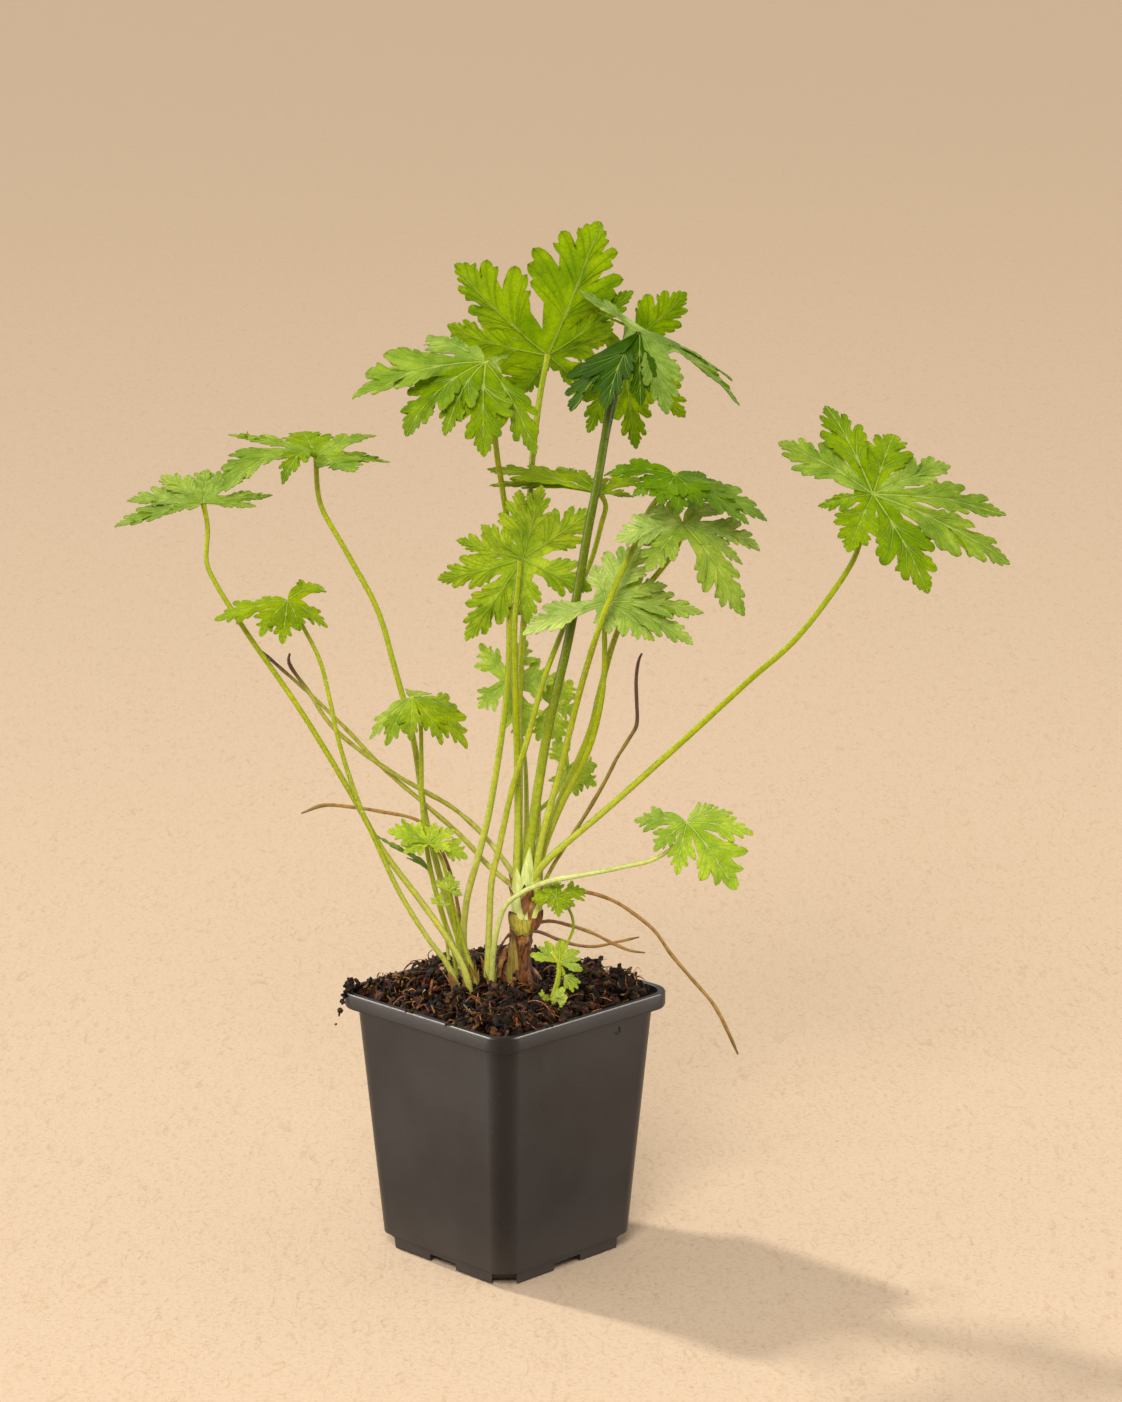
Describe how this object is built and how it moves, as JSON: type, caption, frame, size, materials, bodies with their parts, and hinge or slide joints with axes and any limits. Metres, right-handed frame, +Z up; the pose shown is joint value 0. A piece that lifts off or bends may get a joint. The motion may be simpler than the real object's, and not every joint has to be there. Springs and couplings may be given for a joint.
{
  "type": "hardy geranium in a nursery pot",
  "caption": "Young hardy geranium with deeply cut palmate leaves on long slender stalks, standing in a square nursery pot filled with potting soil.",
  "frame": {"origin": "on the ground under the middle of the pot", "axes": "+Z up; the pot stands with one corner towards -Y, and the plant spreads furthest along +X"},
  "size_m": [0.3196, 0.119, 0.383],
  "materials": {
    "pot_plastic": "satin charcoal plastic with a fine grain",
    "soil": "coarse, dark, moist bark and peat mix",
    "leaf": "fresh green leaf, softly satin, with pale veins and yellow-green stalks",
    "woody_base": "rough brown bark with dry scales",
    "sheath": "fibrous yellow-green sheath, brown at its foot",
    "dry_stalk": "pale yellow withering stalk with a brown tip",
    "brown_stalk": "thin dry brown stem"
  },
  "bodies": {
    "root": {"nursery_pot": "pot_plastic", "potting_soil": "soil", "rootstock": "woody_base", "crown_sheath": "sheath", "leaf_top": "leaf", "leaf_centre": "leaf", "leaf_right_upper": "leaf", "leaf_right_middle": "leaf", "leaf_right_lower": "leaf", "leaf_far_right": "leaf", "leaf_inner_first": "leaf", "leaf_upper_left": "leaf", "leaf_inner_right": "leaf", "leaf_far_left": "leaf", "leaf_left_upper": "leaf", "leaf_left_middle": "leaf", "leaf_left_lower": "leaf", "leaf_small_left": "leaf", "leaf_low_right": "leaf", "leaf_folded": "leaf", "seedling_leaf_low": "leaf", "seedling_leaf_high": "leaf", "shoot_upper_right": "leaf", "spray_inner": "leaf", "dry_stalk_long": "dry_stalk", "dry_stalk_hooked": "dry_stalk", "dry_stalk_brown": "brown_stalk", "dry_stalk_right": "brown_stalk", "runner_long": "brown_stalk", "runner_upper": "brown_stalk", "runner_lower": "brown_stalk"}
  },
  "joints": []
}
